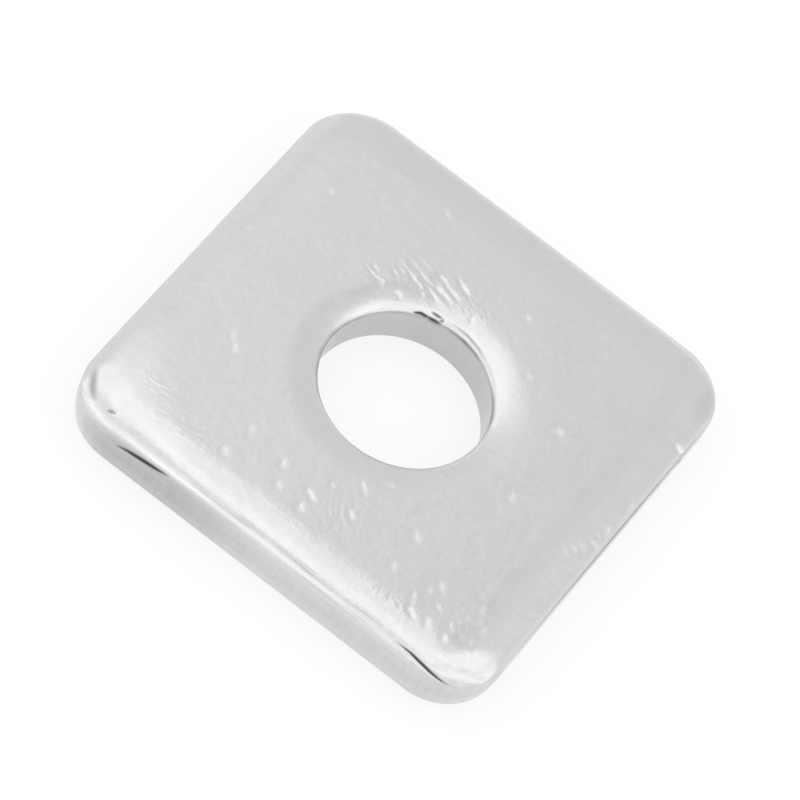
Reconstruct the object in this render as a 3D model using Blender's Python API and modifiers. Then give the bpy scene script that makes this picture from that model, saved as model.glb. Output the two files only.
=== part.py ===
"""Square plate washer: one flat steel plate, punched out with rounded corners and one bolt hole.

The plate lies flat on its underside. The origin is the centre of the underside, +Z points up
through the hole, and X and Y run along the plate's sides. Lengths are in metres.
"""

import math

import bmesh
import bpy
from mathutils import Vector

# The plate's outline and thickness.
SIDE = 0.0200
THICKNESS = 0.0021
CORNER_RADIUS = 0.0026

# The punch draws the top edge down as it shears the plate: a wide, shallow roll-over.
EDGE_ROLL_WIDTH = 0.0022
EDGE_ROLL_DROP = 0.00055

# Below the smooth land the sheared wall breaks away and leans in towards the underside.
EDGE_BREAK_HEIGHT = 0.0007
EDGE_BREAK_LEAN = 0.00010
UNDERSIDE_EDGE_WIDTH = 0.00010
UNDERSIDE_EDGE_HEIGHT = 0.00010

# The bolt hole, at its smooth land, with the same three zones down its wall.
HOLE_DIAMETER = 0.0071
HOLE_ROLL_WIDTH = 0.0015
HOLE_ROLL_DROP = 0.00025
HOLE_BREAK_HEIGHT = 0.0009
HOLE_BREAK_LEAN = 0.00004

# The roll-over stays narrower than the corner radius, so that the flat face keeps round corners.
WIDEST_ROLL_SHARE = 0.95

# How finely the round stretches are divided.
CORNER_STEPS = 14
HOLE_STEPS = 72
EDGE_ROLL_STEPS = 8
HOLE_ROLL_STEPS = 7

# The cutter reaches this far past both faces.
CUTTER_REACH = 0.0010

UP = Vector((0.0, 0.0, 1.0))
DOWN = -UP
QUARTER_TURN = math.pi / 2
WELD_DISTANCE = 1e-7
SMOOTH_ANGLE = math.radians(35)

# Bright zinc plating on steel.
PLATING_COLOUR = (0.66, 0.66, 0.665, 1.0)
PLATING_ROUGHNESS = 0.2


def clear_scene():
    for obj in list(bpy.data.objects):
        bpy.data.objects.remove(obj, do_unlink=True)


def new_collection(name):
    collection = bpy.data.collections.new(name)
    bpy.context.scene.collection.children.link(collection)
    return collection


def plating_material():
    material = bpy.data.materials.new("zinc_plating")
    material.use_nodes = True
    shader = material.node_tree.nodes["Principled BSDF"]
    shader.inputs["Base Color"].default_value = PLATING_COLOUR
    shader.inputs["Metallic"].default_value = 1.0
    shader.inputs["Roughness"].default_value = PLATING_ROUGHNESS
    return material


def rounded_square(side, radius, steps):
    """Points round a square with arc corners, counter-clockwise."""
    reach = side / 2 - radius
    points = []
    for corner in range(4):
        start = corner * QUARTER_TURN
        middle = start + QUARTER_TURN / 2
        centre = Vector((math.copysign(reach, math.cos(middle)), math.copysign(reach, math.sin(middle))))
        for step in range(steps + 1):
            angle = start + QUARTER_TURN * step / steps
            points.append(centre + radius * Vector((math.cos(angle), math.sin(angle))))
    return points


def outline_curve(name, points, thickness, middle_height):
    """A flat outline, filled on both sides and extruded to a slab."""
    curve = bpy.data.curves.new(name, "CURVE")
    curve.dimensions = "2D"
    curve.fill_mode = "BOTH"
    curve.extrude = thickness / 2
    spline = curve.splines.new("POLY")
    spline.points.add(len(points) - 1)
    for target, point in zip(spline.points, points):
        target.co = (point.x, point.y, 0.0, 1.0)
    spline.use_cyclic_u = True
    slab = bpy.data.objects.new(name, curve)
    slab.location.z = middle_height
    return slab


def curve_to_mesh(curve_object, name, collection):
    """A mesh object in place of the curve, with its caps welded to its walls."""
    collection.objects.link(curve_object)
    bpy.context.view_layer.update()
    evaluated = curve_object.evaluated_get(bpy.context.evaluated_depsgraph_get())
    mesh = bpy.data.meshes.new_from_object(evaluated)
    mesh.transform(curve_object.matrix_world)
    bpy.data.objects.remove(curve_object, do_unlink=True)
    shape = bmesh.new()
    shape.from_mesh(mesh)
    bmesh.ops.remove_doubles(shape, verts=shape.verts, dist=WELD_DISTANCE)
    bmesh.ops.recalc_face_normals(shape, faces=shape.faces)
    for facing in (UP, DOWN):
        bmesh.ops.dissolve_faces(shape, faces=[face for face in shape.faces if face.normal.dot(facing) > 0.9])
    shape.to_mesh(mesh)
    shape.free()
    solid = bpy.data.objects.new(name, mesh)
    collection.objects.link(solid)
    return solid


def quarter_ellipse(width, drop, steps):
    """Moves (inwards, upwards) over a roll-over, from the wall up to the flat face."""
    moves = []
    for step in range(steps):
        low = QUARTER_TURN * step / steps
        high = QUARTER_TURN * (step + 1) / steps
        inwards = width * (math.cos(low) - math.cos(high))
        upwards = drop * (math.sin(high) - math.sin(low))
        moves.append((inwards, upwards))
    return moves


def draw_in(shape, facing, moves):
    """Insets the flat cap that faces this way, move by move, and lifts it out as it shrinks."""
    cap = max(shape.faces, key=lambda face: face.normal.dot(facing) * face.calc_area())
    for inwards, outwards in moves:
        bmesh.ops.inset_region(shape, faces=[cap], thickness=inwards, depth=outwards, use_even_offset=True)


def plate_blank(collection):
    """The punched blank: its straight land first, then the roll-over above it and the break below it."""
    land_bottom = UNDERSIDE_EDGE_HEIGHT + EDGE_BREAK_HEIGHT
    land_top = THICKNESS - EDGE_ROLL_DROP
    outline = rounded_square(SIDE, CORNER_RADIUS, CORNER_STEPS)
    land = outline_curve("land", outline, land_top - land_bottom, (land_bottom + land_top) / 2)
    plate = curve_to_mesh(land, "plate_washer", collection)
    roll_width = min(EDGE_ROLL_WIDTH, WIDEST_ROLL_SHARE * CORNER_RADIUS)
    shape = bmesh.new()
    shape.from_mesh(plate.data)
    draw_in(shape, UP, quarter_ellipse(roll_width, EDGE_ROLL_DROP, EDGE_ROLL_STEPS))
    break_moves = [
        (EDGE_BREAK_LEAN, EDGE_BREAK_HEIGHT),
        (UNDERSIDE_EDGE_WIDTH, UNDERSIDE_EDGE_HEIGHT),
    ]
    draw_in(shape, DOWN, break_moves)
    shape.to_mesh(plate.data)
    shape.free()
    return plate


def hole_profile():
    """Radius and height down the side of the bolt hole, from above the plate to below it."""
    land_radius = HOLE_DIAMETER / 2
    land_top = THICKNESS - HOLE_ROLL_DROP
    mouth_radius = land_radius + HOLE_ROLL_WIDTH
    profile = [(mouth_radius, THICKNESS + CUTTER_REACH)]
    for step in range(HOLE_ROLL_STEPS + 1):
        angle = QUARTER_TURN * (1 - step / HOLE_ROLL_STEPS)
        radius = mouth_radius - HOLE_ROLL_WIDTH * math.cos(angle)
        profile.append((radius, land_top + HOLE_ROLL_DROP * math.sin(angle)))
    profile.append((land_radius, HOLE_BREAK_HEIGHT))
    profile.append((land_radius + HOLE_BREAK_LEAN, 0.0))
    profile.append((land_radius + HOLE_BREAK_LEAN, -CUTTER_REACH))
    return profile


def turned_cutter(name, profile, collection):
    """A closed turned body: the profile, run down its outer side, spun round Z."""
    top = (0.0, profile[0][1])
    bottom = (0.0, profile[-1][1])
    shape = bmesh.new()
    points = [shape.verts.new((radius, 0.0, height)) for radius, height in [top, *profile, bottom]]
    for first, second in zip(points, points[1:]):
        shape.edges.new((first, second))
    mesh = bpy.data.meshes.new(name)
    shape.to_mesh(mesh)
    shape.free()
    cutter = bpy.data.objects.new(name, mesh)
    collection.objects.link(cutter)
    spin = cutter.modifiers.new("spin", "SCREW")
    spin.axis = "Z"
    spin.steps = HOLE_STEPS
    spin.render_steps = HOLE_STEPS
    spin.use_merge_vertices = True
    spin.merge_threshold = WELD_DISTANCE
    cutter.hide_render = True
    cutter.display_type = "WIRE"
    return cutter


def punch(plate, cutter):
    hole = plate.modifiers.new("bolt_hole", "BOOLEAN")
    hole.operation = "DIFFERENCE"
    hole.solver = "EXACT"
    hole.object = cutter


def build_washer():
    clear_scene()
    washer_parts = new_collection("square_plate_washer")
    cutters = new_collection("cutters")
    plate = plate_blank(washer_parts)
    plate.data.materials.append(plating_material())
    punch(plate, turned_cutter("bolt_hole_cutter", hole_profile(), cutters))
    plate.data.shade_smooth()
    plate.data.set_sharp_from_angle(angle=SMOOTH_ANGLE)


build_washer()
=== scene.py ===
"""The finish of a square plate washer: punched steel, zinc plated, lying on a white table. Metres, +Z up."""

import math

import bmesh
import bpy
import numpy as np
from mathutils import Matrix, Vector


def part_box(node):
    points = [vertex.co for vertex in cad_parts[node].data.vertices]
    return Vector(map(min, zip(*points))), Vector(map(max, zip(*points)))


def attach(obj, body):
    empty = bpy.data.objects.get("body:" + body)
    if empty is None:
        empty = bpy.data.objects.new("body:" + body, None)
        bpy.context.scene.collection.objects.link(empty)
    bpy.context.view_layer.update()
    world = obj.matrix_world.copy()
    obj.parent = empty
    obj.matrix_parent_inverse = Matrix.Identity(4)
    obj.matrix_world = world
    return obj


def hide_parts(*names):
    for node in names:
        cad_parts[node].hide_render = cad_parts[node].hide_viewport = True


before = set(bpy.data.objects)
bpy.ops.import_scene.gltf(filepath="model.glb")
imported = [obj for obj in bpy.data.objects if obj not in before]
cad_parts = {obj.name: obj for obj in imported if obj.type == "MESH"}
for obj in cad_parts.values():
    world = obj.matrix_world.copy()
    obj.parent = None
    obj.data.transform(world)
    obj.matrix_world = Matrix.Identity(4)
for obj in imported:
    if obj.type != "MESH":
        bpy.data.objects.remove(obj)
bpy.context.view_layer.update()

MM = 0.001

# The plate's section, as the solid has it.
PLATE_LOW, PLATE_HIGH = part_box("plate_washer")
SIDE = PLATE_HIGH.x - PLATE_LOW.x
THICKNESS = PLATE_HIGH.z - PLATE_LOW.z
CORNER_RADIUS = 2.6 * MM
EDGE_ROLL_WIDTH = 2.2 * MM
EDGE_ROLL_DROP = 0.55 * MM
EDGE_BREAK_HEIGHT = 0.8 * MM
EDGE_BREAK_LEAN = 0.1 * MM
UNDERSIDE_EDGE = 0.1 * MM
HOLE_RADIUS = 3.55 * MM
HOLE_ROLL_WIDTH = 1.5 * MM
HOLE_ROLL_DROP = 0.25 * MM
HOLE_BREAK_HEIGHT = 0.9 * MM
HOLE_BREAK_LEAN = 0.04 * MM
# The height of the flat face in mm, for the marks, whose places are written in mm.
FACE_HEIGHT = THICKNESS / MM

# How finely the plate is divided, round the hole and across each zone of its section.
STEPS_ROUND = 800
HOLE_WALL_ROWS = 3
HOLE_ROLL_ROWS = 26
FACE_ROWS = 46
EDGE_ROLL_ROWS = 36
EDGE_WALL_ROWS = 4
BREAK_ROWS = 2
UNDERSIDE_EDGE_ROWS = 2
UNDERSIDE_ROWS = 2

# The corners are bent down: the corner's side in x and in y, how far out along both the bend starts, in mm,
# and how steeply it deepens from there.
CORNER_DROOPS = {
    "left": (-1, -1, 13.2, 0.0098),
    "bottom": (1, -1, 16.3, 0.026),
    "right": (1, 1, 16.0, 0.010),
    "top": (-1, 1, 16.0, 0.010),
}

# The face dips a little at the far side of the hole: depth and reach from the hole's wall, in mm, bearing,
# and how far past a half of the lip it spreads.
DISH_DEPTH = 0.028
DISH_REACH = 1.4
DISH_BEARING = math.radians(75)
DISH_SPREAD = 0.3

# Relief of the plated skin. It lies a margin inside the solid's faces, to leave room for its crests.
# A dimple's reach is in shares of the dimples' spacing, and their rarity is the share of places without one.
WAVE_HEIGHT = 0.022 * MM
WAVE_SPACING = 4.5 * MM
PEEL_HEIGHT = 0.008 * MM
PEEL_SPACING = 0.8 * MM
DIMPLE_DEPTH = 0.006 * MM
DIMPLE_SPACING = 1.1 * MM
DIMPLE_REACH = (0.02, 0.2)
DIMPLE_RARITY = 0.7
SHEAR_HEIGHT = 0.010 * MM
SHEAR_SPACING = 0.4 * MM
SHEAR_STRETCH = (1.0, 1.0, 0.08)
SKIN_MARGIN = 0.012 * MM
RELIEF_SEED = 7
SHARP_EDGE_ANGLE = math.radians(32)
MERGE_DISTANCE = 1e-7

# The wall attribute is 1 on a sheared wall and this on the face. It is read from 0 to 1 only, so what
# belongs to the wall fades close above it.
FACE_WALL = -6.0

# Patches where the plating wrinkled into short ridges: centre x and y, half length, half width, turn in
# degrees, ridge spacing and height, and a ridge's width as a share of its length. Lengths are in mm.
WRINKLE_PATCHES = {
    "left_corner": (-7.3, -7.0, 1.3, 0.6, 8, 0.34, 0.012, 0.35),
    "left_band": (-5.8, -8.1, 2.2, 1.0, 15, 0.34, 0.008, 0.35),
    "bottom_band": (4.6, -8.7, 1.0, 2.2, 98, 0.32, 0.006, 0.6),
    "above_band": (1.4, -6.6, 1.4, 1.2, -50, 0.40, 0.007, 0.35),
    "beside_hole": (-6.2, -3.3, 1.6, 0.6, -49, 0.34, 0.008, 0.35),
}
# The finer ones, which the material makes.
FINE_WRINKLE_PATCHES = {
    "comb_by_hole": (-2.1, 4.6, 1.9, 1.0, -10, 0.34, 0.028, 0.35),
    "left_of_hole": (-3.9, 3.3, 0.9, 0.5, -6, 0.20, 0.016, 0.4),
    "right_of_comb": (-0.1, 5.0, 1.2, 0.7, -14, 0.20, 0.010, 0.5),
    "left_corner": (-7.3, -7.0, 1.3, 0.6, 10, 0.17, 0.006, 0.5),
    "left_band": (-5.8, -8.2, 2.4, 1.1, 17, 0.18, 0.006, 0.5),
    "middle_band": (-1.0, -8.6, 3.4, 0.8, 12, 0.20, 0.005, 0.5),
    "bottom_band": (4.6, -8.7, 1.0, 2.3, 96, 0.24, 0.007, 0.8),
    "bottom_corner": (8.0, -7.4, 1.4, 1.1, -45, 0.26, 0.008, 0.9),
    "above_band": (1.4, -6.6, 1.5, 1.2, -52, 0.22, 0.005, 0.5),
}

# A patch has its full height inside this share of its oval, and none outside that one.
PATCH_FADE = (0.35, 1.1)

# Flecks on the face: the place of both ends, half width and depth in mm.
FLECKS = [
    ((-1.66, -6.41), (-1.60, -6.44), 0.15, 0.013),
    ((-0.20, -6.74), (0.13, -6.83), 0.13, 0.013),
    ((-0.06, -7.52), (0.06, -7.54), 0.16, 0.014),
    ((-1.26, -7.33), (-1.16, -7.36), 0.13, 0.011),
    ((1.01, -4.76), (1.66, -5.27), 0.10, 0.010),
    ((1.84, -4.32), (2.14, -4.12), 0.10, 0.010),
    ((1.46, -6.20), (1.87, -6.53), 0.11, 0.012),
    ((4.08, -5.35), (4.20, -5.38), 0.16, 0.011),
    ((4.16, -7.03), (4.24, -7.09), 0.14, 0.010),
    ((0.20, -5.71), (0.50, -5.89), 0.09, 0.008),
    ((5.52, -7.52), (5.66, -7.81), 0.10, 0.010),
    ((5.74, -8.16), (6.02, -8.28), 0.10, 0.012),
    ((6.06, -6.43), (6.14, -6.48), 0.14, 0.010),
    ((7.86, -6.03), (8.00, -6.30), 0.11, 0.010),
    ((8.16, -6.62), (8.22, -6.68), 0.13, 0.012),
    ((8.50, -6.89), (8.58, -6.95), 0.14, 0.012),
    ((6.58, -8.12), (6.66, -8.20), 0.13, 0.011),
    ((5.86, -6.88), (5.92, -6.94), 0.10, 0.006),
    ((6.43, -7.26), (6.72, -7.33), 0.09, 0.007),
    ((7.38, -7.62), (7.44, -7.68), 0.11, 0.006),
    ((7.46, -8.24), (7.52, -8.30), 0.13, 0.008),
    ((8.06, -7.66), (8.12, -7.72), 0.12, 0.008),
    ((8.43, -7.63), (8.49, -7.69), 0.10, 0.008),
    ((5.88, -1.16), (5.96, -1.20), 0.14, 0.010),
    ((-6.56, -2.98), (-6.40, -3.14), 0.11, 0.006),
    ((-6.14, -3.46), (-6.02, -3.62), 0.12, 0.007),
    ((-3.50, -6.06), (-3.40, -6.10), 0.15, 0.008),
    ((-3.70, -7.58), (-3.60, -7.64), 0.14, 0.010),
    ((-2.75, 3.24), (-2.67, 3.28), 0.13, 0.020),
    ((1.72, 6.06), (1.80, 6.12), 0.15, 0.011),
    ((3.24, 3.86), (3.34, 3.90), 0.13, 0.011),
    ((0.12, 4.40), (0.22, 4.42), 0.12, 0.013),
    ((5.50, 2.56), (5.72, 2.66), 0.15, 0.014),
    ((-3.42, 7.78), (-3.36, 7.82), 0.13, 0.009),
    ((-7.52, 5.18), (-7.46, 5.22), 0.12, 0.009),
    ((9.73, 2.14), (9.76, 1.92), 0.10, 0.012),
    ((9.64, 0.48), (9.71, 0.26), 0.11, 0.014),
    ((9.51, -0.51), (9.80, -0.45), 0.09, 0.014),
    ((9.03, -1.20), (9.31, -1.40), 0.07, 0.010),
    ((9.15, -0.87), (9.49, -1.09), 0.07, 0.010),
    ((9.34, -0.04), (9.67, -0.05), 0.07, 0.010),
    ((8.74, -1.51), (9.22, -1.81), 0.07, 0.010),
]

# Scores beside the hole, written the same way.
SCORES = [
    ((-4.37, 3.32), (-3.38, 3.19), 0.12, 0.016),
    ((-4.33, 3.65), (-3.80, 3.50), 0.10, 0.010),
    ((-2.80, 4.22), (-1.90, 3.98), 0.12, 0.016),
    ((-2.56, 4.45), (-1.33, 4.15), 0.12, 0.017),
    ((-2.32, 4.70), (-1.42, 4.54), 0.11, 0.012),
    ((-1.87, 4.63), (-0.86, 4.45), 0.12, 0.018),
    ((-1.60, 4.96), (-0.67, 4.76), 0.12, 0.018),
    ((-1.43, 5.56), (-0.48, 5.20), 0.12, 0.014),
]
# Both are drawn out by this share of their half width, and a fleck carries this much painted highlight.
PIT_REACH = 0.35
FLECK_HIGHLIGHT = 0.4

# Strokes in the skin: the path's x, y and z, half width and depth, in mm, and darkness from 0 to 1, which is
# painted shade in a real dent or ridge.
STROKES = {
    "left_lap": (
        [
            (-7.1, -9.98, 1.6),
            (-6.5, -9.93, 1.68),
            (-5.9, -9.9, 1.715),
            (-5.2, -9.86, 1.74),
            (-4.5, -9.8, 1.78),
        ],
        0.075,
        0.018,
        0.95,
    ),
    "bottom_lap": (
        [
            (6.1, -9.53, 1.89),
            (6.9, -9.55, 1.88),
            (7.35, -9.6, 1.86),
            (7.9, -9.64, 1.83),
            (8.25, -9.63, 1.79),
            (8.55, -9.58, 1.745),
            (8.9, -9.46, 1.69),
        ],
        0.065,
        0.026,
        1.0,
    ),
    "rim_crease_left": (
        [
            (-4.9, -9.56, 1.88),
            (-3.6, -9.5, 1.9),
            (-2.0, -9.51, 1.895),
            (-0.9, -9.43, 1.915),
            (0.3, -9.42, 1.92),
        ],
        0.055,
        0.007,
        0.34,
    ),
    "rim_crease_right": ([(-0.3, -9.42, 1.92), (1.0, -9.45, 1.91), (3.2, -9.49, 1.9)], 0.055, 0.009, 0.44),
    "rim_crease_end": ([(3.4, -9.51, 1.9), (4.8, -9.4, 1.93), (5.7, -9.42, 1.92)], 0.05, 0.008, 0.42),
    "rim_crease_below": ([(3.6, -9.65, 1.85), (4.9, -9.68, 1.84), (5.8, -9.69, 1.83)], 0.05, 0.006, 0.32),
    "rim_branch": ([(3.25, -9.38, 1.93), (4.1, -8.97, 2.02)], 0.05, 0.006, 0.25),
    "long_burr": (
        [(-1.86, 3.11, 1.92), (-1.56, 3.31, 1.94), (-1.34, 3.36, 1.92), (-1.1, 3.42, 1.91)],
        0.08,
        0.02,
        0.95,
    ),
    "burr_tail": ([(-1.45, 3.33, 1.92), (-1.03, 3.44, 1.9), (-0.58, 3.52, 1.89)], 0.085, 0.008, 0.78),
    "short_burr": ([(-1.34, 3.63, 2.0), (-0.98, 3.67, 1.99), (-0.7, 3.7, 1.98)], 0.08, 0.012, 0.72),
    "last_burr": ([(-0.76, 3.74, 1.99), (-0.7, 3.62, 1.95), (-0.86, 3.54, 1.93)], 0.065, 0.008, 0.62),
    "lip_shade": (
        [(-0.7, 3.53, 1.9), (-0.13, 3.55, 1.89), (0.5, 3.52, 1.89), (1.2, 3.34, 1.89), (1.9, 3.0, 1.89)],
        0.075,
        0.003,
        0.56,
    ),
    "lip_line": (
        [(-0.6, 3.73, 1.98), (-0.07, 3.79, 1.99), (0.4, 3.78, 1.99), (1.05, 3.62, 1.99), (1.9, 3.24, 1.99)],
        0.055,
        0.006,
        0.56,
    ),
    "rim_speck": ([(-8.19, -9.16, 1.95), (-7.97, -9.1, 1.97), (-7.75, -9.07, 1.99)], 0.09, 0.008, 0.6),
    "face_scratch": ([(5.2, 1.7, 2.1), (6.7, 3.3, 2.1)], 0.05, 0.004, 0.0),
    "upper_scratch": ([(4.6, 6.9, 2.1), (5.3, 6.3, 2.1)], 0.04, 0.004, 0.0),
}

# Lines of painted shade, with no depth: the path's x, y and z and half width, in mm, and darkness.
PAINTED_SHADE_LINES = {
    "rim_shade": ([(-0.4, -9.76, 1.8), (3.0, -9.76, 1.8), (6.3, -9.76, 1.8)], 0.07, 0.25),
    "left_corner_shade": (
        [
            (-9.66, -7.7, 1.83),
            (-9.44, -8.2, 1.86),
            (-9.2, -8.63, 1.87),
            (-8.93, -8.92, 1.87),
            (-8.6, -9.1, 1.89),
        ],
        0.22,
        0.45,
    ),
    "lip_ring": (
        [
            (-2.76, 2.31, 1.91),
            (-3.12, 1.8, 1.91),
            (-3.48, 0.93, 1.91),
            (-3.6, 0.0, 1.92),
            (-3.48, -0.98, 1.92),
            (-3.13, -1.82, 1.92),
            (-2.5, -2.62, 1.92),
            (-1.6, -3.25, 1.92),
        ],
        0.15,
        0.37,
    ),
    "lip_ring_low": (
        [
            (-1.6, -3.32, 1.95),
            (-0.65, -3.66, 1.95),
            (0.65, -3.66, 1.95),
            (1.85, -3.22, 1.95),
            (2.75, -2.5, 1.95),
            (3.4, -1.5, 1.95),
        ],
        0.12,
        0.24,
    ),
    "lip_ring_right": (
        [(3.58, 0.2, 1.9), (3.28, 1.46, 1.9), (2.88, 2.15, 1.9), (2.3, 2.77, 1.9)],
        0.15,
        0.42,
    ),
    "right_line": (
        [(9.97, -7.4, 1.63), (9.97, 0.0, 1.63), (9.97, 7.4, 1.63), (9.83, 8.3, 1.63), (9.6, 8.8, 1.63)],
        0.08,
        0.46,
    ),
}

# Painted highlights along the front rim: the path's x, y and z and half width, in mm, and brightness from 0
# to 1.
PAINTED_HIGHLIGHTS = {
    "left_rim": (
        [
            (-9.4, -8.54, 1.83),
            (-9.1, -8.95, 1.83),
            (-8.6, -9.36, 1.83),
            (-8.0, -9.62, 1.83),
            (-7.4, -9.7, 1.83),
            (-5.0, -9.67, 1.84),
            (-3.0, -9.6, 1.866),
            (-1.5, -9.6, 1.866),
        ],
        0.1,
        0.75,
    ),
    "front_rim": ([(-2.8, -9.6, 1.866), (1.0, -9.6, 1.866), (4.8, -9.6, 1.866)], 0.09, 0.4),
}

# The comb of short gouges beside the hole, in mm: where the first and the last one start, the way they run,
# and how far each one may stray: in depth, along the row, at its start and in its slant.
COMB_COUNT = 9
COMB_FIRST = (-3.6, 4.05)
COMB_LAST = (-1.25, 5.4)
COMB_DIRECTION = (0.98, -0.17)
COMB_LENGTHS = (0.4, 1.1)
COMB_HALF_WIDTH = 0.11
COMB_DEPTH = 0.016
COMB_DEPTH_SHARES = (0.5, 1.2)
COMB_ROW_STRAY = 0.25
COMB_START_STRAY = 0.2
COMB_START_STRAY_SHARES = (1.0, 0.3)
COMB_SLANT_STRAY = 0.08
COMB_SEED = 11

# A stroke longer than this many half widths is pointed at both ends, where it has this share of its width.
POINTED_LENGTH = 4
POINT_WIDTH = 0.35

# The nick in the right-hand edge, in mm: its place along the edge, half width, depth inwards, where it starts
# and how far it fades in, how low it reaches, and how far its edge sinks.
NICK_PLACE = 5.66
NICK_HALF_WIDTH = 0.09
NICK_DEPTH = 0.10
NICK_INNER_END = 9.45
NICK_REACH = 0.4
NICK_LOWER_END = 1.0
NICK_SINK = 0.05

# The camera, from the photograph's viewing angle.
CAMERA_AZIMUTH = math.radians(11.38)
CAMERA_ELEVATION = math.radians(55.26)
CAMERA_ROLL = math.radians(27.91)
CAMERA_DISTANCE = 0.2486
CAMERA_LENS = 285.0
CAMERA_CLIP_START = 0.01

# The white room that the plating reflects. A direction's side runs from -1 at the left to 1 at the right,
# and its lift is its angle up from the back horizon, over the top, to the front one, in degrees.
# Brightness by lift:
ROOM_PROFILE = [
    (0, 1.12),
    (8, 0.94),
    (24, 0.908),
    (47, 0.918),
    (54, 0.95),
    (56.5, 1.0),
    (58.5, 1.04),
    (60.5, 1.12),
    (63, 1.24),
    (67, 1.36),
    (81, 1.38),
    (86, 1.12),
    (91, 1.08),
    (96, 1.36),
    (102, 1.36),
    (107, 1.12),
    (130, 1.04),
    (155, 1.0),
    (172, 0.94),
    (180, 0.9),
]
# The ceiling panels are bent: the degrees added to the lift before the brightness is read, by side.
PANEL_BEND = [
    (-0.85, -10.0),
    (-0.6, 4.0),
    (-0.5, 3.5),
    (-0.4, 2.0),
    (-0.25, 1.0),
    (-0.115, 0.0),
    (-0.098, -1.5),
    (-0.082, -7.0),
    (0.0, -9.0),
    (0.05, -9.5),
    (0.09, -6.5),
    (0.15, -2.5),
    (0.2, 0.0),
    (0.3, 3.0),
    (0.45, 5.5),
    (0.6, 4.5),
]
# Over these lifts the room passes from its walls to the bright ceiling panel.
PANEL_EDGE = (58.0, 66.0)
# Far to the left the room is as bright low down as it is at this lift.
LEFT_SIDES = (-0.5, -0.36)
LEFT_LEAST_LIFT = 55.8
# Below the panel the room is a little brighter at the left.
LEFT_GAIN = 0.025
LEFT_GAIN_SIDES = (-0.17, -0.06)
# A window low down at the right.
WINDOW_GAIN = 0.12
WINDOW_SIDES = (0.3, 0.75)
WINDOW_LIFTS = (62.0, 52.0)
# The shaded end of the panel: how much darker it is, its middle, its reach in side and in lift, and where in
# that reach it fades.
CORNER_SHADE = 0.10
CORNER_SHADE_SIDE = -0.045
CORNER_SHADE_LIFT = 59.5
CORNER_SHADE_SIDE_REACH = 0.045
CORNER_SHADE_LIFT_REACH = 3.6
CORNER_SHADE_FADE = (0.3, 1.3)
# Towards the right the gap between the two panels closes: its middle, how far from there the closing fades,
# the sides that it comes in over, and the gain there.
GAP_LIFT = 91.0
GAP_FADE = (1.5, 7.0)
GAP_SIDES = (-0.04, 0.06)
GAP_GAIN = 0.17
# The panels are uneven: how fast they change, and by how much at most.
CLUTTER_SPACING = 0.12
CLUTTER_GAIN = 0.5

TABLE_TONE = 0.93
TABLE_ROUGHNESS = 0.9
TABLE_HALF_SIZE = 1.0
TABLE_GLOW = 0.78

# Where the zones of the finish and of its painted light fade, in mm: by height, by distance from the hole's
# axis, or by x or y.
# The least and the share are levels from 0 to 1: what is left of the zone where it has faded.
UNDERSIDE_HEIGHTS = (0.002, 0.02)
LOW_WALL_HEIGHTS = (0.3, 1.0)
BORE_DISTANCES = (3.7, 4.2)
BORE_END_Y = (0.6, 2.8)
LIP_DISTANCES = (4.0, 4.4)
RIGHT_WALL_X = (9.85, 9.98)
RIGHT_ROLL_START_X = (8.7, 9.6)
RIGHT_ROLL_END_X = (9.68, 9.9)
RIGHT_ROLL_Y = (-8.6, -6.8)
FRONT_EDGE_HEIGHTS = (1.70, 1.86)
FRONT_EDGE_Y = (-9.75, -9.55)
LEFT_WALL_X = (-4.5, 0.5)
LEFT_WALL_LEAST = 0.12
LEFT_CORNER_X = (-8.5, -7.3)
LEFT_CORNER_SHARE = 0.35
# The same for the zones that follow the rim attribute and the attribute of the marks' painted shade, from 0
# to 1.
WORN_RIM = (0.5, 1.0)
LIP_RIM = (0.75, 0.95)
PAINTED_SHADE_FADE = (0.06, 0.8)
# The bore is sheared more smoothly than the outer walls, by this share.
BORE_SMOOTHNESS = 0.6

# How far the marks of shearing are drawn out, upright and lengthwise.
UPRIGHT_STRETCH = (1.0, 1.0, 0.12)
LENGTHWISE_STRETCH = (0.05, 0.05, 1.0)
# Scratches and dull clouds show where their noise lies between these two values.
SCRATCH_NOISE = (0.64, 0.72)
DULL_NOISE = (0.35, 0.7)
# A small spot has its full strength inside this share of its radius.
SPOT_CORE = 0.2

# The tone of the plating, and what each zone and texture adds to it. The textures and the worn rim are the
# plating's own tone; the wall, roll, lip and bore zones are painted shade, except a painted reflection low on
# the outer walls, and the highlights are painted.
BASE_TONE = 0.655
TONES = {
    "clouds": 0.03,
    "mottle": 0.05,
    "grain": 0.03,
    "shear_marks": 0.10,
    "drawn_marks": 0.07,
    # A painted reflection of the white table, lighter low on the outer walls.
    "low_wall": 0.05,
    # Painted shade on the right wall, on the roll along the right edge and on the left part of the front
    # wall.
    "right_wall": -0.04,
    "right_roll": -0.05,
    "left_wall": -0.15,
    "rim": 0.02,
    # Painted shade on the hole's lip.
    "lip": -0.07,
    # Painted highlights of the rim lines, the flecks and the nick.
    "painted_highlight": 0.16,
    "spots": 0.05,
    # Painted shade in the bore, darker still at its ends.
    "bore": -0.09,
    "bore_end": -0.06,
}
# The darkest painted shade in the marks keeps this share of the tone, and blue is this much stronger than red
# and green.
PAINTED_SHADE_TONE = 0.12
BLUE_SHARE = 1.006
# The roughness of the plating, and what is added to it. The fine height, in metres, starts from nothing.
BASE_ROUGHNESS = 0.095
ROUGHNESSES = {
    "dull": 0.07,
    "wall": 0.10,
    "painted_shade": 0.3,
    "scratches": 0.06,
    "grain": 0.10,
}
HEIGHTS = {
    "mottle": 0.0040 * MM,
    "grain": 0.0016 * MM,
    "scratches": -0.0004 * MM,
    "spots": -0.0040 * MM,
    "specks": -0.0012 * MM,
    "shear_marks": 0.006 * MM,
    "drawn_marks": 0.004 * MM,
}

# How far each seed moves a pattern.
SEED_STEP = (0.0131, 0.0173, 0.0117)


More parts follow.
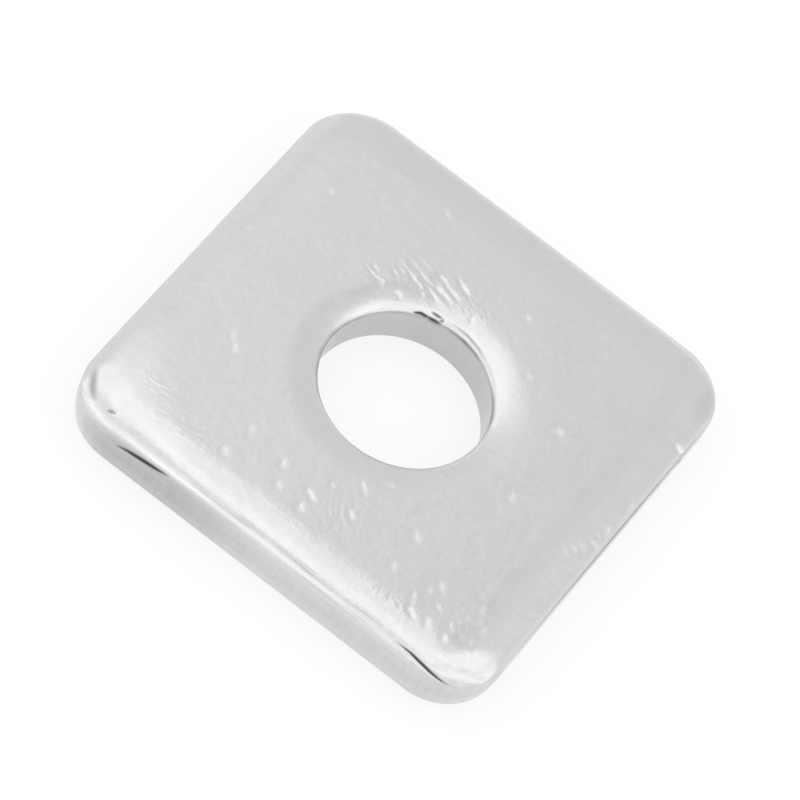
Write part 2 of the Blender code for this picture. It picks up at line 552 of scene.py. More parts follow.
class Net:
    """A node tree being built. Each call adds one node, sets or links its inputs, and gives one output."""

    def __init__(self, tree):
        self.tree = tree

    def add(self, kind, inputs=(), output=0, **settings):
        node = self.tree.nodes.new(kind)
        for name, value in settings.items():
            setattr(node, name, value)
        pairs = inputs.items() if isinstance(inputs, dict) else enumerate(inputs)
        for key, value in pairs:
            if isinstance(value, bpy.types.NodeSocket):
                self.tree.links.new(value, node.inputs[key])
            elif value is not None:
                node.inputs[key].default_value = value
        return node.outputs[output]

    def math(self, operation, *values):
        return self.add("ShaderNodeMath", values, operation=operation)

    def total(self, terms):
        result = terms[0]
        for term in terms[1:]:
            result = self.math("ADD", result, term)
        return result

    def product(self, factors):
        result = factors[0]
        for factor in factors[1:]:
            result = self.math("MULTIPLY", result, factor)
        return result

    def weighted(self, base, signals, weights):
        """The base and the named signals added up, each signal times its weight."""
        terms = [self.math("MULTIPLY", signals[name], weight) for name, weight in weights.items()]
        return self.total([base, *terms])

    def vector(self, operation, *values):
        output = "Value" if operation in ("LENGTH", "DOT_PRODUCT", "DISTANCE") else "Vector"
        return self.add("ShaderNodeVectorMath", values, output=output, operation=operation)

    def scaled(self, vector, factor):
        return self.add("ShaderNodeVectorMath", {0: vector, "Scale": factor}, operation="SCALE")

    def parts(self, vector):
        """The x, y and z of a vector."""
        outputs = self.add("ShaderNodeSeparateXYZ", (vector,)).node.outputs
        return outputs["X"], outputs["Y"], outputs["Z"]

    def joined(self, x, y, z):
        return self.add("ShaderNodeCombineXYZ", (x, y, z))

    def blend(self, start, end, share):
        """A number between two others."""
        return self.math("MULTIPLY_ADD", share, self.math("SUBTRACT", end, start), start)

    def blend_places(self, start, end, share):
        step = self.scaled(self.vector("SUBTRACT", end, start), share)
        return self.vector("ADD", start, step)

    def ramp(self, value, low, high, start=0.0, end=1.0, smooth=True):
        """start where value is at low, end where it is at high."""
        inputs = {"Value": value, 1: low, 2: high, 3: start, 4: end}
        kind = "SMOOTHSTEP" if smooth else "LINEAR"
        return self.add("ShaderNodeMapRange", inputs, interpolation_type=kind, clamp=True)

    def ramp_mm(self, value, span, start=0.0, end=1.0):
        """A ramp over a span that is given in mm."""
        return self.ramp(value, span[0] * MM, span[1] * MM, start, end)

    def noise(self, place, spacing, detail=1.0, roughness=0.5, seed=0, dimensions="3D"):
        moved = self.vector("ADD", place, tuple(seed * step for step in SEED_STEP)) if seed else place
        inputs = {"Vector": moved, "Scale": 1 / spacing, "Detail": detail, "Roughness": roughness}
        return self.add("ShaderNodeTexNoise", inputs, noise_dimensions=dimensions)

    def swing(self, place, spacing, height, **settings):
        """Noise that swings about nothing, of about this height from its hollows to its crests."""
        centred = self.math("SUBTRACT", self.noise(place, spacing, **settings), 0.5)
        return self.math("MULTIPLY", centred, height)


def tree_input(tree, name, kind, default):
    socket = tree.interface.new_socket(name=name, in_out="INPUT", socket_type=kind)
    socket.default_value = default
    return socket


SIZE_INPUTS = {
    "Side": SIDE,
    "Thickness": THICKNESS,
    "Corner Radius": CORNER_RADIUS,
    "Edge Roll Width": EDGE_ROLL_WIDTH,
    "Edge Roll Drop": EDGE_ROLL_DROP,
    "Edge Break Height": EDGE_BREAK_HEIGHT,
    "Edge Break Lean": EDGE_BREAK_LEAN,
    "Underside Edge": UNDERSIDE_EDGE,
    "Hole Radius": HOLE_RADIUS,
    "Hole Roll Width": HOLE_ROLL_WIDTH,
    "Hole Roll Drop": HOLE_ROLL_DROP,
    "Hole Break Height": HOLE_BREAK_HEIGHT,
    "Hole Break Lean": HOLE_BREAK_LEAN,
    "Wave Height": WAVE_HEIGHT,
    "Peel Height": PEEL_HEIGHT,
    "Dimple Depth": DIMPLE_DEPTH,
    "Shear Height": SHEAR_HEIGHT,
}


def edge_ring(net, square_point, sizes, inset):
    """A point of the plate's rounded outline, drawn in by inset."""
    reach = net.math("SUBTRACT", net.math("MULTIPLY", sizes["Side"], 0.5), sizes["Corner Radius"])
    high = net.joined(reach, reach, 0.0)
    low = net.scaled(high, -1.0)
    centre = net.vector("MINIMUM", net.vector("MAXIMUM", square_point, low), high)
    outwards = net.vector("NORMALIZE", net.vector("SUBTRACT", square_point, centre))
    radius = net.math("SUBTRACT", sizes["Corner Radius"], inset)
    return net.vector("ADD", centre, net.scaled(outwards, radius))


def hole_ring(net, square_point, sizes, outset):
    """A point of the bolt hole's circle, let out by outset, on the line to the same point of the outline."""
    outline_point = edge_ring(net, square_point, sizes, 0.0)
    outwards = net.vector("NORMALIZE", outline_point)
    return net.scaled(outwards, net.math("ADD", sizes["Hole Radius"], outset))


RINGS = {"hole": hole_ring, "edge": edge_ring}


def strip(net, sizes, rows, start, end, rolled=None, wall=(0.0, 0.0), rim=(0.0, 0.0), skin=(1.0, 1.0)):
    """One zone of the section, swept round the plate from the start ring to the end ring.

    start and end are (ring, distance from that ring, height). rolled is up where the zone rolls from
    a wall up to the face, and down where it rolls from the face down to a wall. wall, rim and skin are
    what the finish reads at the zone's two ends: sheared wall, worn rim, and relief of the skin.
    """
    grid = net.add(
        "GeometryNodeMeshGrid",
        {"Size X": 1.0, "Size Y": 1.0, "Vertices X": STEPS_ROUND + 1, "Vertices Y": rows + 1},
    )
    place_x, place_y, _ = net.parts(net.add("GeometryNodeInputPosition"))
    round_share = net.math("ADD", place_x, 0.5)
    across = net.math("ADD", place_y, 0.5)
    square = net.add(
        "GeometryNodeCurvePrimitiveQuadrilateral", {"Width": sizes["Side"], "Height": sizes["Side"]}
    )
    square_point = net.add(
        "GeometryNodeSampleCurve",
        {"Curves": square, "Factor": round_share},
        output="Position",
        mode="FACTOR",
        use_all_curves=True,
    )
    angle = net.math("MULTIPLY", across, math.pi / 2)
    along_sine = net.math("SINE", angle)
    along_cosine = net.math("SUBTRACT", 1.0, net.math("COSINE", angle))
    outward_share, height_share = {
        None: (across, across),
        "up": (along_cosine, along_sine),
        "down": (along_sine, along_cosine),
    }[rolled]
    for name, (first, last) in (("wall", wall), ("rim", rim), ("skin", skin)):
        grid = net.add(
            "GeometryNodeStoreNamedAttribute",
            {"Geometry": grid, "Name": name, "Value": net.blend(first, last, across)},
            data_type="FLOAT",
            domain="POINT",
        )
    start_place = RINGS[start[0]](net, square_point, sizes, start[1])
    end_place = RINGS[end[0]](net, square_point, sizes, end[1])
    flat_place = net.blend_places(start_place, end_place, outward_share)
    height = net.blend(start[2], end[2], height_share)
    raised = net.vector("ADD", flat_place, net.joined(0.0, 0.0, height))
    return net.add("GeometryNodeSetPosition", {"Geometry": grid, "Position": raised})


def plate_strips(net, sizes):
    """The zones of the section in turn: up the hole, over the face, down the edge and back below."""
    top = sizes["Thickness"]
    hole_land_top = net.math("SUBTRACT", top, sizes["Hole Roll Drop"])
    edge_land_top = net.math("SUBTRACT", top, sizes["Edge Roll Drop"])
    foot_inset = net.math("ADD", sizes["Edge Break Lean"], sizes["Underside Edge"])
    hole_foot = ("hole", sizes["Hole Break Lean"], 0.0)
    hole_break = ("hole", 0.0, sizes["Hole Break Height"])
    hole_land = ("hole", 0.0, hole_land_top)
    hole_mouth = ("hole", sizes["Hole Roll Width"], top)
    face_rim = ("edge", sizes["Edge Roll Width"], top)
    edge_land = ("edge", 0.0, edge_land_top)
    edge_break = ("edge", 0.0, sizes["Edge Break Height"])
    edge_foot = ("edge", sizes["Edge Break Lean"], sizes["Underside Edge"])
    underside_rim = ("edge", foot_inset, 0.0)
    on_wall = {"wall": (1.0, 1.0)}
    return [
        strip(net, sizes, BREAK_ROWS, hole_foot, hole_break, skin=(0.0, 1.0), **on_wall),
        strip(net, sizes, HOLE_WALL_ROWS, hole_break, hole_land, rim=(0.0, 1.0), **on_wall),
        strip(net, sizes, HOLE_ROLL_ROWS, hole_land, hole_mouth, "up", wall=(1.0, FACE_WALL), rim=(1.0, 0.0)),
        strip(net, sizes, FACE_ROWS, hole_mouth, face_rim, wall=(FACE_WALL, FACE_WALL)),
        strip(net, sizes, EDGE_ROLL_ROWS, face_rim, edge_land, "down", wall=(FACE_WALL, 1.0), rim=(0.0, 1.0)),
        strip(net, sizes, EDGE_WALL_ROWS, edge_land, edge_break, rim=(1.0, 0.0), **on_wall),
        strip(net, sizes, BREAK_ROWS, edge_break, edge_foot, skin=(1.0, 0.5), **on_wall),
        strip(net, sizes, UNDERSIDE_EDGE_ROWS, edge_foot, underside_rim, skin=(0.5, 0.0), **on_wall),
        strip(net, sizes, UNDERSIDE_ROWS, underside_rim, hole_foot, skin=(0.0, 0.0), **on_wall),
    ]


def attribute_value(net, name):
    if net.tree.type == "GEOMETRY":
        return net.add("GeometryNodeInputNamedAttribute", {"Name": name}, data_type="FLOAT")
    return net.add("ShaderNodeAttribute", output="Fac", attribute_name=name)


def wrinkle_patch(
    net, place, centre_x, centre_y, half_length, half_width, turn, spacing, height, slenderness
):
    """Short parallel ridges, fading out towards the rim of an oval patch of the face."""
    moved = net.vector("SUBTRACT", place, (centre_x * MM, centre_y * MM, 0.0))
    turned = net.add(
        "ShaderNodeVectorRotate",
        {"Vector": moved, "Angle": -math.radians(turn)},
        rotation_type="Z_AXIS",
    )
    along, aside, _ = net.parts(turned)
    oval = net.joined(
        net.math("DIVIDE", along, half_length * MM), net.math("DIVIDE", aside, half_width * MM), 0.0
    )
    cover = net.ramp(net.vector("LENGTH", oval), *PATCH_FADE, 1.0, 0.0)
    stretched = net.joined(net.math("MULTIPLY", along, slenderness), aside, 0.0)
    ridges = net.swing(stretched, spacing * MM, height * MM, dimensions="2D")
    return net.math("MULTIPLY", ridges, cover)


def dimples(net, place, sizes):
    """Shallow round hollows, in some of the cells that the skin is divided into."""
    scale = 1 / DIMPLE_SPACING
    cells = net.add("ShaderNodeTexVoronoi", {"Vector": place, "Scale": scale, "Randomness": 1.0}).node
    chosen = net.math("GREATER_THAN", net.parts(cells.outputs["Color"])[0], DIMPLE_RARITY)
    cup = net.ramp(cells.outputs["Distance"], *DIMPLE_REACH, 1.0, 0.0)
    return net.product([cup, chosen, sizes["Dimple Depth"]])


def relief(net, sizes):
    """How far the skin stands out: slow waves, orange peel, dimples, shear marks and wrinkles."""
    place = net.add("GeometryNodeInputPosition")
    waves = net.swing(place, WAVE_SPACING, 1.0, seed=RELIEF_SEED)
    peel = net.swing(place, PEEL_SPACING, 1.0, detail=1.5, seed=RELIEF_SEED)
    upright = net.vector("MULTIPLY", place, SHEAR_STRETCH)
    shear = net.swing(upright, SHEAR_SPACING, 1.0, detail=2.0, seed=RELIEF_SEED)
    wall_cover = net.ramp(attribute_value(net, "wall"), 0.0, 1.0)
    terms = [
        net.math("MULTIPLY", waves, sizes["Wave Height"]),
        net.math("MULTIPLY", peel, sizes["Peel Height"]),
        net.math("MULTIPLY", dimples(net, place, sizes), -1.0),
        net.product([shear, sizes["Shear Height"], wall_cover]),
        *(wrinkle_patch(net, place, *patch) for patch in WRINKLE_PATCHES.values()),
        -SKIN_MARGIN,
    ]
    return net.math("MULTIPLY", net.total(terms), attribute_value(net, "skin"))


def plate_tree(material):
    tree = bpy.data.node_groups.new("punched_plate", "GeometryNodeTree")
    tree.interface.new_socket(name="Plate", in_out="OUTPUT", socket_type="NodeSocketGeometry")
    for name, value in SIZE_INPUTS.items():
        tree_input(tree, name, "NodeSocketFloat", value)
    net = Net(tree)
    sources = tree.nodes.new("NodeGroupInput").outputs
    sizes = {name: sources[name] for name in SIZE_INPUTS}
    joined = tree.nodes.new("GeometryNodeJoinGeometry")
    for piece in plate_strips(net, sizes):
        tree.links.new(piece, joined.inputs[0])
    merged = net.add(
        "GeometryNodeMergeByDistance", {"Geometry": joined.outputs[0], "Distance": MERGE_DISTANCE}
    )
    outwards = net.add("GeometryNodeFlipFaces", {"Mesh": merged})
    offset = net.scaled(net.add("GeometryNodeInputNormal"), relief(net, sizes))
    embossed = net.add("GeometryNodeSetPosition", {"Geometry": outwards, "Offset": offset})
    bend = net.add("GeometryNodeInputMeshEdgeAngle", output="Unsigned Angle")
    gentle = net.add("FunctionNodeCompare", {"A": bend, "B": SHARP_EDGE_ANGLE}, operation="LESS_THAN")
    rounded = net.add("GeometryNodeSetShadeSmooth", {"Geometry": embossed, "Shade Smooth": True})
    smooth = net.add(
        "GeometryNodeSetShadeSmooth", {"Geometry": rounded, "Shade Smooth": gentle}, domain="EDGE"
    )
    realised = net.add("GeometryNodeRealizeInstances", {"Geometry": smooth})
    coated = net.add("GeometryNodeSetMaterial", {"Geometry": realised, "Material": material})
    tree.links.new(coated, tree.nodes.new("NodeGroupOutput").inputs[0])
    return tree


def plain_mesh(carrier, name):
    """The carrier's finished geometry as a mesh of its own, with no modifier left."""
    bpy.context.view_layer.update()
    evaluated = carrier.evaluated_get(bpy.context.evaluated_depsgraph_get())
    mesh = bpy.data.meshes.new_from_object(evaluated)
    bpy.data.objects.remove(carrier, do_unlink=True)
    mesh.name = name
    piece = bpy.data.objects.new(name, mesh)
    bpy.context.scene.collection.objects.link(piece)
    return piece


def punched_plate(material):
    carrier = bpy.data.objects.new("plate_carrier", bpy.data.meshes.new("plate_carrier"))
    bpy.context.scene.collection.objects.link(carrier)
    tree = plate_tree(material)
    maker = carrier.modifiers.new("punched_plate", "NODES")
    maker.node_group = tree
    for item in tree.interface.items_tree:
        if item.in_out == "INPUT":
            maker[item.identifier] = SIZE_INPUTS[item.name]
    return plain_mesh(carrier, "plated_plate")


def comb_gouges():
    """The path, half width and depth of short gouges side by side, slanting towards the hole's far lip."""
    chance = np.random.default_rng(COMB_SEED)
    first, last = np.array(COMB_FIRST), np.array(COMB_LAST)
    gouges = []
    for count in range(COMB_COUNT):
        share = (count + chance.uniform(-COMB_ROW_STRAY, COMB_ROW_STRAY)) / (COMB_COUNT - 1)
        stray = chance.uniform(-COMB_START_STRAY, COMB_START_STRAY, 2) * COMB_START_STRAY_SHARES
        start = first + share * (last - first) + stray
        direction = np.array(COMB_DIRECTION) + (0.0, chance.uniform(-COMB_SLANT_STRAY, COMB_SLANT_STRAY))
        end = start + chance.uniform(*COMB_LENGTHS) * direction
        depth = COMB_DEPTH * chance.uniform(*COMB_DEPTH_SHARES)
        gouges.append(([(*start, FACE_HEIGHT), (*end, FACE_HEIGHT)], COMB_HALF_WIDTH, depth))
    return gouges


def skin_point(x, y):
    """The point of the top skin over x and y, in mm: on the flat face or on the rolled edge."""
    straight = (SIDE / 2 - CORNER_RADIUS) / MM
    past_x, past_y = max(abs(x) - straight, 0), max(abs(y) - straight, 0)
    inset = CORNER_RADIUS / MM - math.hypot(past_x, past_y)
    share = min(max(1 - inset / (EDGE_ROLL_WIDTH / MM), 0), 1)
    return x, y, FACE_HEIGHT - EDGE_ROLL_DROP / MM * (1 - math.sqrt(1 - share**2))


def pits(places):
    """The path, half width and depth of pits, a little longer from front to back, so that they look round."""
    for (start_x, start_y), (end_x, end_y), half_width, depth in places:
        reach = PIT_REACH * half_width
        yield [skin_point(start_x, start_y + reach), skin_point(end_x, end_y - reach)], half_width, depth


def all_marks():
    """Every mark in the skin: its path, half width and depth, in mm, its painted shade and its painted
    highlight.
    """
    for path, half_width, depth, darkness in STROKES.values():
        yield path, half_width, depth, darkness, 0.0
    # Lines of painted shade.
    for path, half_width, darkness in PAINTED_SHADE_LINES.values():
        yield path, half_width, 0.0, darkness, 0.0
    for path, half_width, depth in (*comb_gouges(), *pits(SCORES)):
        yield path, half_width, depth, 0.0, 0.0
    for path, half_width, painted_highlight in PAINTED_HIGHLIGHTS.values():
        yield path, half_width, 0.0, 0.0, painted_highlight
    for path, half_width, depth in pits(FLECKS):
        yield path, half_width, depth, 0.0, FLECK_HIGHLIGHT


def stroke_cover(points, path, half_width):
    """How far under a stroke each point lies: 1 on its line, fading aside and towards both ends."""
    path = np.array(path)
    steps = np.diff(path, axis=0)
    spans = np.linalg.norm(steps, axis=1)
    passed = np.concatenate(([0.0], np.cumsum(spans)))
    tapered = passed[-1] > POINTED_LENGTH * half_width
    cover = np.zeros(len(points))
    for start, step, span, before in zip(path, steps, spans, passed):
        away = points - start
        along = np.clip(away @ step / span**2, 0, 1)
        aside = np.linalg.norm(away - along[:, None] * step, axis=1)
        share = (before + along * span) / passed[-1]
        strength = np.sqrt(np.clip(np.sin(math.pi * share), 0.0, 1)) if tapered else 1.0
        width = half_width * (POINT_WIDTH + (1 - POINT_WIDTH) * strength)
        cover = np.maximum(cover, np.exp(-((aside / width) ** 2)) * strength)
    return cover


def bend_depth(points):
    """How far each point lies lower, in mm, where the corners and the hole's far lip are bent down."""
    bend = np.zeros(len(points))
    for side_x, side_y, start, rate in CORNER_DROOPS.values():
        past = np.clip(points[:, 0] * side_x + points[:, 1] * side_y - start, 0, None)
        bend += rate * past**2
    from_axis = np.hypot(points[:, 0], points[:, 1])
    facing = np.cos(np.arctan2(points[:, 1], points[:, 0]) - DISH_BEARING)
    past_wall = (from_axis - HOLE_RADIUS / MM) / DISH_REACH
    bend += DISH_DEPTH * np.clip(facing + DISH_SPREAD, 0, 1) * np.exp(-(past_wall**2))
    return bend * np.clip(points[:, 2] / FACE_HEIGHT, 0, 1)


def nick_cover(points):
    """How far inside the nick each point lies, from 0 to 1."""
    cover = np.exp(-(((points[:, 1] - NICK_PLACE) / NICK_HALF_WIDTH) ** 2))
    return cover * (
        np.clip((points[:, 0] - NICK_INNER_END) / NICK_REACH, 0, 1) * (points[:, 2] > NICK_LOWER_END)
    )


def press_marks(plate):
    """Works the marks of punching and handling into the plate, and keeps it inside the solid's box."""
    mesh = plate.data
    places = np.empty(len(mesh.vertices) * 3)
    normals = np.empty(len(mesh.vertices) * 3)
    mesh.vertices.foreach_get("co", places)
    mesh.vertices.foreach_get("normal", normals)
    places = places.reshape(-1, 3)
    normals = normals.reshape(-1, 3)
    points = places / MM
    sink = np.zeros(len(points))
    painted_shade = np.zeros(len(points))
    painted_highlight = np.zeros(len(points))
    for path, half_width, depth, mark_darkness, mark_highlight in all_marks():
        cover = stroke_cover(points, path, half_width)
        sink += depth * cover
        # A mark's darkness is painted shade.
        painted_shade = np.maximum(painted_shade, mark_darkness * cover)
        # A mark's brightness is a painted highlight.
        painted_highlight = np.maximum(painted_highlight, mark_highlight * cover)
    nick = nick_cover(points)
    places -= (sink * MM)[:, None] * normals
    places[:, 2] -= bend_depth(points) * MM
    places[:, 0] -= nick * NICK_DEPTH * MM
    places[:, 2] -= nick * NICK_SINK * MM
    places = np.clip(places, PLATE_LOW, PLATE_HIGH)
    mesh.vertices.foreach_set("co", places.ravel())
    # The marks' painted shade goes to the material as an attribute.
    mesh.attributes.new("painted_shade", "FLOAT", "POINT").data.foreach_set("value", painted_shade)
    # The marks' painted highlights go to the material as an attribute, with the nick's bright face as one
    # more.
    mesh.attributes.new("painted_highlight", "FLOAT", "POINT").data.foreach_set("value", np.maximum(painted_highlight, nick))
    mesh.update()


def scratch_lines(net, place, turn, spacing, length, seed):
    """Sparse, fine straight lines, all of about one direction."""
    turned = net.add(
        "ShaderNodeVectorRotate", {"Vector": place, "Angle": math.radians(turn)}, rotation_type="Z_AXIS"
    )
    drawn = net.vector("MULTIPLY", turned, (spacing / length, 1.0, 1.0))
    return net.ramp(net.noise(drawn, spacing, roughness=0.6, seed=seed), *SCRATCH_NOISE)


def scattered_spots(net, place, spacing, size, share, seed):
    """Small round spots at random places, in this share of the cells."""
    moved = net.vector("ADD", place, tuple(seed * step for step in SEED_STEP))
    cells = net.add("ShaderNodeTexVoronoi", {"Vector": moved, "Scale": 1 / spacing, "Randomness": 1.0}).node
    chosen = net.math("LESS_THAN", net.parts(cells.outputs["Color"])[0], share)
    spot = net.ramp(cells.outputs["Distance"], SPOT_CORE * size / spacing, size / spacing, 1.0, 0.0)
    return net.math("MULTIPLY", spot, chosen)


def finish_and_painted_light_zones(net, place):
    """Where on the plate each zone of the finish and of its painted light lies, from 0 to 1, by name."""
    x, y, height = net.parts(place)
    from_axis = net.vector("LENGTH", net.joined(x, y, 0.0))
    on_wall = net.ramp(attribute_value(net, "wall"), 0.0, 1.0)
    wall = net.math("MULTIPLY", on_wall, net.ramp_mm(height, UNDERSIDE_HEIGHTS))
    bore = net.math("MULTIPLY", wall, net.ramp_mm(from_axis, BORE_DISTANCES, 1.0, 0.0))
    outer_wall = net.math("SUBTRACT", wall, bore)
    return {
        "wall": wall,
        # The bore and its ends carry painted shade in the tone.
        "bore": bore,
        "bore_end": net.math("MULTIPLY", bore, net.ramp_mm(y, BORE_END_Y, 1.0, 0.0)),
        "sheared": net.math("SUBTRACT", wall, net.math("MULTIPLY", bore, BORE_SMOOTHNESS)),
        "rim": net.ramp(attribute_value(net, "rim"), *WORN_RIM),
        # The lip carries painted shade in the tone.
        "lip": net.math(
            "MULTIPLY",
            net.ramp(attribute_value(net, "rim"), *LIP_RIM),
            net.ramp_mm(from_axis, LIP_DISTANCES, 1.0, 0.0),
        ),
        # The low wall carries a painted reflection of the table in the tone.
        "low_wall": net.math("MULTIPLY", outer_wall, net.ramp_mm(height, LOW_WALL_HEIGHTS, 1.0, 0.0)),
        # This zone and the next two carry painted shade in the tone: the right wall, the right roll and the
        # left wall.
        "right_wall": net.math("MULTIPLY", wall, net.ramp_mm(x, RIGHT_WALL_X)),
        "right_roll": net.product([
            net.ramp_mm(x, RIGHT_ROLL_START_X),
            net.ramp_mm(y, RIGHT_ROLL_Y),
            net.ramp_mm(x, RIGHT_ROLL_END_X, 1.0, 0.0),
        ]),
        "left_wall": net.product([
            net.ramp_mm(height, FRONT_EDGE_HEIGHTS, 1.0, 0.0),
            net.ramp_mm(y, FRONT_EDGE_Y, 1.0, 0.0),
            net.ramp_mm(x, LEFT_WALL_X, 1.0, LEFT_WALL_LEAST),
            net.ramp_mm(x, LEFT_CORNER_X, LEFT_CORNER_SHARE, 1.0),
        ]),
        # The marks' painted shade.
        "painted_shade": net.ramp(attribute_value(net, "painted_shade"), *PAINTED_SHADE_FADE),
        # The painted highlights of the marks, the flecks and the nick.
        "painted_highlight": attribute_value(net, "painted_highlight"),
    }


def skin_textures(net, place, sheared):
    """The fine textures of the skin, by name. The marks of shearing lie on the sheared walls alone."""
    upright = net.vector("MULTIPLY", place, UPRIGHT_STRETCH)
    lengthwise = net.vector("MULTIPLY", place, LENGTHWISE_STRETCH)
    shear = net.swing(upright, 0.22 * MM, 1.0, detail=2.0, roughness=0.6, seed=5)
    drawn = net.swing(lengthwise, 0.11 * MM, 1.0, seed=11)
    long_scratches = scratch_lines(net, place, turn=8.0, spacing=0.07 * MM, length=2.6 * MM, seed=6)
    slant_scratches = scratch_lines(net, place, turn=-24.0, spacing=0.06 * MM, length=1.4 * MM, seed=7)
    return {
        "clouds": net.swing(place, 3.0 * MM, 1.0, detail=2.0, seed=2),
        "mottle": net.swing(place, 0.30 * MM, 1.0, detail=2.0, roughness=0.6, seed=3),
        "grain": net.swing(place, 0.07 * MM, 1.0, seed=4),
        "shear_marks": net.math("MULTIPLY", shear, sheared),
        "drawn_marks": net.math("MULTIPLY", drawn, sheared),
        "scratches": net.math("MAXIMUM", long_scratches, slant_scratches),
        "spots": scattered_spots(net, place, spacing=1.0 * MM, size=0.07 * MM, share=0.35, seed=8),
        "specks": scattered_spots(net, place, spacing=0.42 * MM, size=0.035 * MM, share=0.3, seed=9),
        "dull": net.ramp(net.noise(place, 0.9 * MM, detail=2.0, seed=10), *DULL_NOISE),
    }


def plating_material():
    """Bright zinc over punched steel: mottled, finely pitted and scratched, duller on the sheared walls, with
    painted shade and painted highlights in its tone.
    """
    material = bpy.data.materials.new("zinc_plating")
    material.use_nodes = True
    tree = material.node_tree
    net = Net(tree)
    shader = tree.nodes["Principled BSDF"]
    shader.inputs["Metallic"].default_value = 1.0
    place = net.add("ShaderNodeTexCoord", output="Object")
    signals = finish_and_painted_light_zones(net, place)
    signals.update(skin_textures(net, place, signals["sheared"]))

    plain_tone = net.weighted(BASE_TONE, signals, TONES)
    # Painted shade in the marks darkens the tone.
    darkening = net.ramp(signals["painted_shade"], 0.0, 1.0, 1.0, PAINTED_SHADE_TONE, smooth=False)
    tone = net.math("MULTIPLY", plain_tone, darkening)
    colour = net.add("ShaderNodeCombineColor", (tone, tone, net.math("MULTIPLY", tone, BLUE_SHARE)))
    tree.links.new(colour, shader.inputs["Base Color"])
    tree.links.new(net.weighted(BASE_ROUGHNESS, signals, ROUGHNESSES), shader.inputs["Roughness"])

    wrinkles = [wrinkle_patch(net, place, *patch) for patch in FINE_WRINKLE_PATCHES.values()]
    height = net.total([net.weighted(0.0, signals, HEIGHTS), *wrinkles])
    bump = net.add("ShaderNodeBump", {"Height": height, "Strength": 1.0, "Distance": 1.0})
    tree.links.new(bump, shader.inputs["Normal"])
    return material


def curve(net, value, points):
    """A number by another one, straight from each (value, result) point to the next."""
    values, results = zip(*points)
    low, high = values[0], values[-1]
    least, most = min(results), max(results)
    share = net.math("DIVIDE", net.math("SUBTRACT", value, low), high - low)
    node = net.add("ShaderNodeValToRGB", (share,)).node
    stops = node.color_ramp.elements
    while len(stops) < len(points):
        stops.new(0.5)
    for stop, place, result in zip(stops, values, results):
        stop.position = (place - low) / (high - low)
        shade = (result - least) / (most - least)
        stop.color = (shade, shade, shade, 1.0)
    return net.math("MULTIPLY_ADD", node.outputs["Color"], most - least, least)


def white_room():
    """Light from all round, by direction: a bright ceiling panel, a slim one in front of it, pale walls."""
    world = bpy.data.worlds.new("white_room")
    bpy.context.scene.world = world
    world.use_nodes = True
    net = Net(world.node_tree)
    direction = net.add("ShaderNodeTexCoord", output="Generated")
    side, ahead, up = net.parts(direction)
    lift = net.math("DEGREES", net.math("ARCTAN2", net.math("MAXIMUM", up, 0.0), ahead))
    turned = net.math("ADD", lift, curve(net, side, PANEL_BEND))
    least_lift = net.ramp(side, *LEFT_SIDES, LEFT_LEAST_LIFT, 0.0)
    level = curve(net, net.math("MAXIMUM", turned, least_lift), ROOM_PROFILE)
    window = net.math(
        "MULTIPLY", net.ramp(side, *WINDOW_SIDES, 0.0, WINDOW_GAIN), net.ramp(lift, *WINDOW_LIFTS, 0.0, 1.0)
    )
    side_share = net.math("DIVIDE", net.math("SUBTRACT", side, CORNER_SHADE_SIDE), CORNER_SHADE_SIDE_REACH)
    lift_share = net.math("DIVIDE", net.math("SUBTRACT", lift, CORNER_SHADE_LIFT), CORNER_SHADE_LIFT_REACH)
    near_corner = net.vector("LENGTH", net.joined(side_share, lift_share, 0.0))
    shade = net.ramp(near_corner, *CORNER_SHADE_FADE, CORNER_SHADE, 0.0)
    unevenness = net.swing(direction, CLUTTER_SPACING, CLUTTER_GAIN)
    clutter = net.math("MULTIPLY", unevenness, net.ramp(lift, *PANEL_EDGE))
    below_panel = net.ramp(lift, *PANEL_EDGE, 1.0, 0.0)
    left_light = net.ramp(side, *LEFT_GAIN_SIDES, LEFT_GAIN, 0.0, smooth=False)
    slope = net.math("MULTIPLY", left_light, below_panel)
    from_gap = net.math("ABSOLUTE", net.math("SUBTRACT", turned, GAP_LIFT))
    closed_gap = net.math(
        "MULTIPLY", net.ramp(side, *GAP_SIDES, 0.0, GAP_GAIN), net.ramp(from_gap, *GAP_FADE, 1.0, 0.0)
    )
    gain = net.total([1.0, window, slope, closed_gap, net.math("MULTIPLY", shade, -1.0), clutter])
    background = world.node_tree.nodes["Background"]
    brightness = net.math("MULTIPLY", level, gain)
    colour = net.add("ShaderNodeCombineColor", (brightness, brightness, brightness))
    world.node_tree.links.new(colour, background.inputs["Color"])
    background.inputs["Strength"].default_value = 1.0


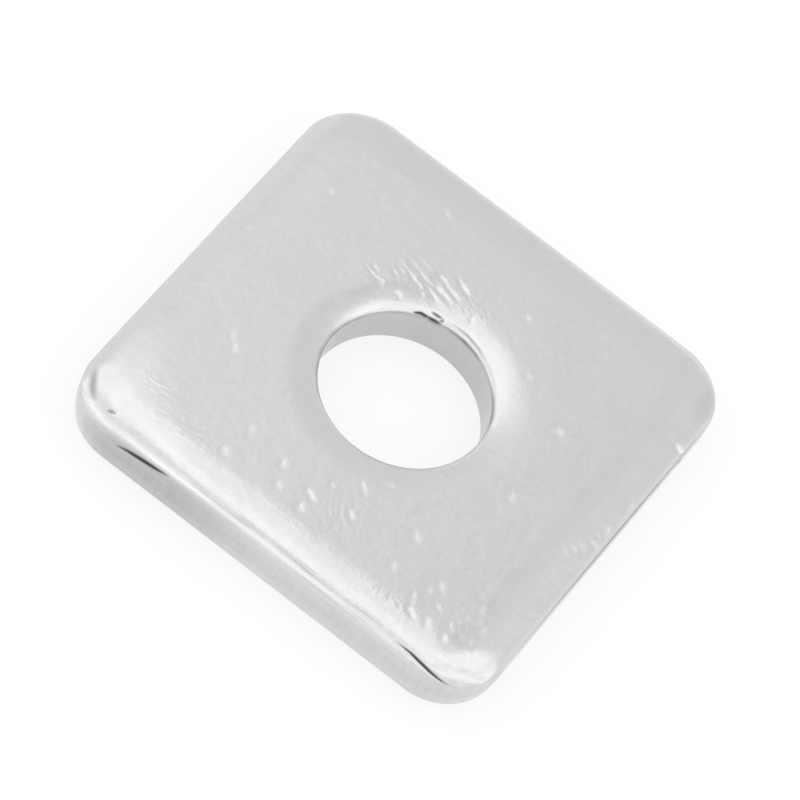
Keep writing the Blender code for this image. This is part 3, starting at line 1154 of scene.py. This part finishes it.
def white_table():
    """The table, lightened to the eye and in reflections, so that its shadow stays faint."""
    material = bpy.data.materials.new("white_table")
    material.use_nodes = True
    tree = material.node_tree
    net = Net(tree)
    shader = tree.nodes["Principled BSDF"]
    shader.inputs["Base Color"].default_value = (TABLE_TONE, TABLE_TONE, TABLE_TONE, 1.0)
    shader.inputs["Roughness"].default_value = TABLE_ROUGHNESS
    shader.inputs["Specular IOR Level"].default_value = 0.0
    rays = net.add("ShaderNodeLightPath").node.outputs
    seen = net.math("MAXIMUM", rays["Is Camera Ray"], rays["Is Glossy Ray"])
    seen = net.math("MAXIMUM", seen, rays["Is Transmission Ray"])
    glow = net.add("ShaderNodeEmission", {"Color": (1.0, 1.0, 1.0, 1.0), "Strength": 1.0})
    mixed = net.add("ShaderNodeMixShader", (net.math("MULTIPLY", seen, TABLE_GLOW), shader.outputs[0], glow))
    tree.links.new(mixed, tree.nodes["Material Output"].inputs["Surface"])
    mesh = bpy.data.meshes.new("white_table")
    shape = bmesh.new()
    bmesh.ops.create_grid(shape, x_segments=1, y_segments=1, size=TABLE_HALF_SIZE)
    shape.to_mesh(mesh)
    shape.free()
    mesh.materials.append(material)
    table = bpy.data.objects.new("white_table", mesh)
    table.location.z = PLATE_LOW.z
    bpy.context.scene.collection.objects.link(table)


def camera(target):
    data = bpy.data.cameras.new("camera")
    data.lens = CAMERA_LENS
    data.clip_start = CAMERA_CLIP_START
    eye = bpy.data.objects.new("camera", data)
    bpy.context.scene.collection.objects.link(eye)
    away = Vector((
        math.sin(CAMERA_AZIMUTH) * math.cos(CAMERA_ELEVATION),
        -math.cos(CAMERA_AZIMUTH) * math.cos(CAMERA_ELEVATION),
        math.sin(CAMERA_ELEVATION),
    ))
    level = (-away).to_track_quat("-Z", "Y").to_matrix().to_4x4()
    turn = Matrix.Rotation(CAMERA_ROLL, 4, "Z")
    eye.matrix_world = Matrix.Translation(target + CAMERA_DISTANCE * away) @ level @ turn
    bpy.context.scene.camera = eye


def main():
    bpy.context.scene.view_settings.view_transform = "Standard"
    plate = punched_plate(plating_material())
    press_marks(plate)
    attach(plate, "root")
    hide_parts("plate_washer")
    white_room()
    white_table()
    camera((PLATE_LOW + PLATE_HIGH) / 2)


main()
